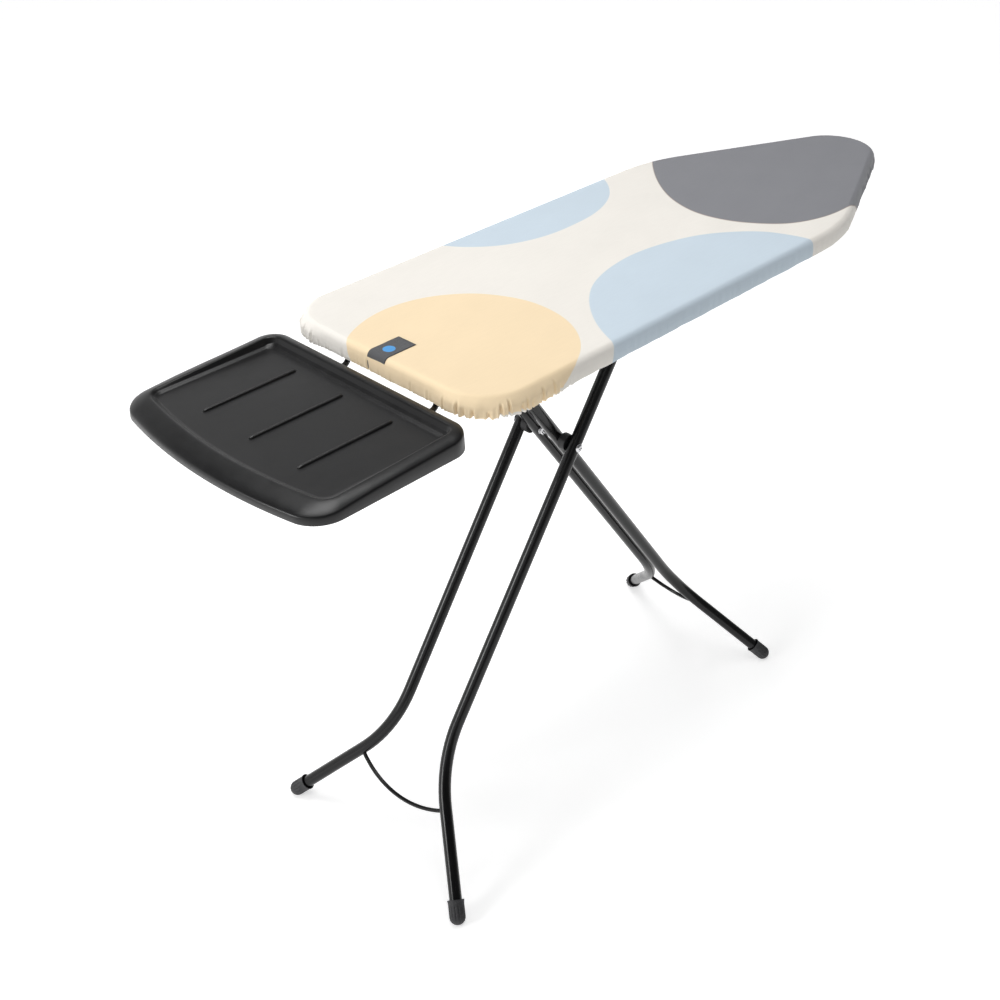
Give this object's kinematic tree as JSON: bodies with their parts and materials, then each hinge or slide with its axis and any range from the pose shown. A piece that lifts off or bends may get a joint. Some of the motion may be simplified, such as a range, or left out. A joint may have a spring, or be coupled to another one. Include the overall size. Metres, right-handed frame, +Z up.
{
  "type": "ironing board",
  "caption": "Ironing board with a padded printed cover, a crossed four-foot folding steel frame and a moulded rest for a steam unit.",
  "frame": {"origin": "on the floor, under the middle of the overall length from the steam-unit rest to the nose", "axes": "+X from the steam-unit rest to the nose, +Y across the board to its far side, +Z up"},
  "size_m": [1.551, 0.464, 0.966],
  "materials": {
    "cover_cotton": "printed plain-weave cotton, cream with yellow, blue and grey shapes",
    "foam": "open-cell foam",
    "felt": "needled felt",
    "drawcord": "braided cord",
    "woven_ribbon": "dark grey woven ribbon with a blue dot",
    "light_painted_steel": "satin light grey paint",
    "black_powder_coat": "satin black powder coat",
    "bright_steel": "bright zinc plate",
    "plain_steel": "drawn steel",
    "rubber_feet": "matt ribbed rubber",
    "black_moulding": "fine-grained satin black moulding",
    "black_plastic": "matt black moulding"
  },
  "bodies": {
    "board": {"cover": "cover_cotton", "foam_layer": "foam", "felt_layer": "felt", "metal_top": "light_painted_steel", "rim": "light_painted_steel", "hem_drawcord": "drawcord", "cover_label": "woven_ribbon", "back_cross_bar": "light_painted_steel", "hinge_cross_bar": "light_painted_steel", "rail_cross_bar": "light_painted_steel", "nose_cross_bar": "light_painted_steel", "hinge_plate_near": "black_powder_coat", "hinge_plate_far": "black_powder_coat", "hinge_axle": "plain_steel", "axle_clips": "bright_steel", "slider_rail_near": "black_powder_coat", "slider_rail_far": "black_powder_coat", "rod_clips": "black_plastic", "lock_plate": "black_powder_coat", "steam_unit_rest": "black_moulding", "rest_rod_near": "black_powder_coat", "rest_rod_far": "black_powder_coat", "rod_hanger_near": "black_powder_coat", "rod_hanger_far": "black_powder_coat", "rest_clamps": "black_plastic"},
    "inner_legs": {"inner_leg_near": "black_powder_coat", "inner_leg_far": "black_powder_coat", "inner_foot_near": "rubber_feet", "inner_foot_far": "rubber_feet", "inner_brace": "black_powder_coat", "inner_tube_plugs": "black_plastic", "hinge_tube": "black_powder_coat", "hinge_sleeves": "black_plastic"},
    "outer_legs": {"outer_leg_near": "black_powder_coat", "outer_leg_far": "black_powder_coat", "outer_foot_near": "rubber_feet", "outer_foot_far": "rubber_feet", "outer_brace": "black_powder_coat", "outer_tube_plugs": "black_plastic", "scissor_bolt_near": "bright_steel", "scissor_bolt_far": "bright_steel", "scissor_spacer_near": "black_plastic", "scissor_spacer_far": "black_plastic", "lock_nut_near": "bright_steel", "lock_nut_far": "bright_steel", "bolt_washers": "bright_steel", "slider_axle": "plain_steel", "slider_glide_near": "black_plastic", "slider_glide_far": "black_plastic"},
    "latch": {"torsion_rod": "black_powder_coat", "latch_arm_back": "black_powder_coat", "latch_arm_nose": "black_powder_coat", "latch_bar": "black_powder_coat", "release_lever": "black_plastic", "latch_spring": "bright_steel"},
    "transport_lock": {"transport_lock": "black_plastic"}
  },
  "joints": [
    {"name": "leg_fold", "type": "hinge", "parent": "board", "child": "inner_legs", "pos_m": [-0.27184, 0, 0.9307], "axis": [0, 1, 0], "range_deg": [-52.1, 0]},
    {"name": "scissor", "type": "hinge", "parent": "inner_legs", "child": "outer_legs", "pos_m": [-0.0995, 0, 0.679], "axis": [0, 1, 0], "range_deg": [0, 104.2]},
    {"name": "release", "type": "hinge", "parent": "board", "child": "latch", "pos_m": [-0.3735, -0.0435, 0.941], "axis": [1, 0, 0], "range_deg": [-4, 0], "stiffness_Nm_per_rad": 20, "springref_deg": 2.86},
    {"name": "transport_turn", "type": "hinge", "parent": "board", "child": "transport_lock", "pos_m": [-0.2035, 0, 0.9007], "axis": [0, 0, 1], "range_deg": [0, 90]}
  ],
  "couplings": [
    {"joint": "scissor", "follows": "leg_fold", "ratio": -2}
  ]
}
